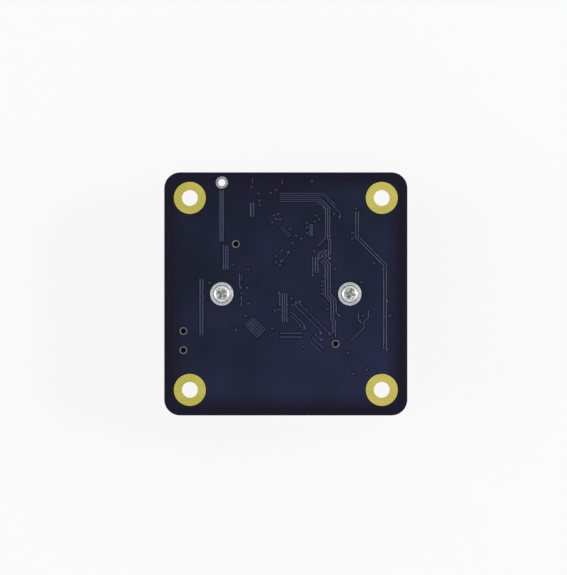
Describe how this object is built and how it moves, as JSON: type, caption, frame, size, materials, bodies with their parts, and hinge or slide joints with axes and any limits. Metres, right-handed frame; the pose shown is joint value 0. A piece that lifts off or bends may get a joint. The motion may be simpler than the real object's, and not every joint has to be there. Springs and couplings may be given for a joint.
{
  "type": "board camera module",
  "caption": "Square circuit-board camera: an adjustable lens in a screwed-on holder on the front, corner mounting holes and a side-entry cable header.",
  "frame": {"origin": "middle of the lens's front rim, on the surface that the module stands on", "axes": "+Z out of the back of the board along the lens axis, away from what the lens looks at; +Y towards the board's upper edge, the one nearest the plated ground hole; +X to the right as seen from the back"},
  "size_m": [0.038, 0.038, 0.0236],
  "materials": {
    "board_laminate": "semi-gloss black-navy solder mask over glass-epoxy laminate",
    "solder_mask": "semi-gloss navy solder mask over copper",
    "gold_plating": "matte immersion gold",
    "tinned_copper": "tinned, satin",
    "holder_plastic": "fine-grained black moulding",
    "screw_steel": "bright plated steel",
    "black_anodised": "black anodised, satin",
    "optical_glass": "polished, with a blue-green anti-reflection coat",
    "filter_glass": "polished, with a pink-red dielectric coat",
    "ceramic": "matte fired ceramic",
    "silicon": "polished silicon with an iridescent pixel field",
    "black_nylon": "satin moulded nylon",
    "contact_gold": "flash gold, satin",
    "chip_mould": "matte black moulding compound",
    "ferrite": "matte grey ferrite",
    "tantalum_mould": "satin ochre moulding",
    "capacitor_ceramic": "matte brown ceramic",
    "resistor_glaze": "glossy black glaze"
  },
  "bodies": {
    "root": {"circuit_board": "board_laminate", "mounting_hole_plating": "gold_plating", "ground_hole_plating": "tinned_copper", "back_copper": "solder_mask", "front_copper": "solder_mask", "solder_lands": "tinned_copper", "lens_holder": "holder_plastic", "holder_screws": "screw_steel", "lens_barrel": "black_anodised", "lens_lock_ring": "black_anodised", "front_retaining_ring": "black_anodised", "front_lens": "optical_glass", "second_lens": "optical_glass", "front_spacer": "black_anodised", "stop_spacer": "black_anodised", "third_lens": "optical_glass", "rear_lens": "optical_glass", "rear_retaining_ring": "black_anodised", "ir_cut_filter": "filter_glass", "sensor_package": "ceramic", "sensor_die": "silicon", "sensor_cover_glass": "optical_glass", "header_housing": "black_nylon", "header_contacts": "contact_gold", "header_solder_tabs": "tinned_copper", "controller_body": "chip_mould", "controller_leads": "tinned_copper", "flash_body": "chip_mould", "flash_leads": "tinned_copper", "small_chip_bodies": "chip_mould", "small_chip_leads": "tinned_copper", "crystal_base": "ceramic", "crystal_lid": "tinned_copper", "inductor_body": "ferrite", "inductor_ends": "tinned_copper", "tantalum_body": "tantalum_mould", "tantalum_ends": "tinned_copper", "choke_body": "ferrite", "choke_ends": "tinned_copper", "capacitor_bodies": "capacitor_ceramic", "resistor_bodies": "resistor_glaze", "chip_end_caps": "tinned_copper"}
  },
  "joints": []
}
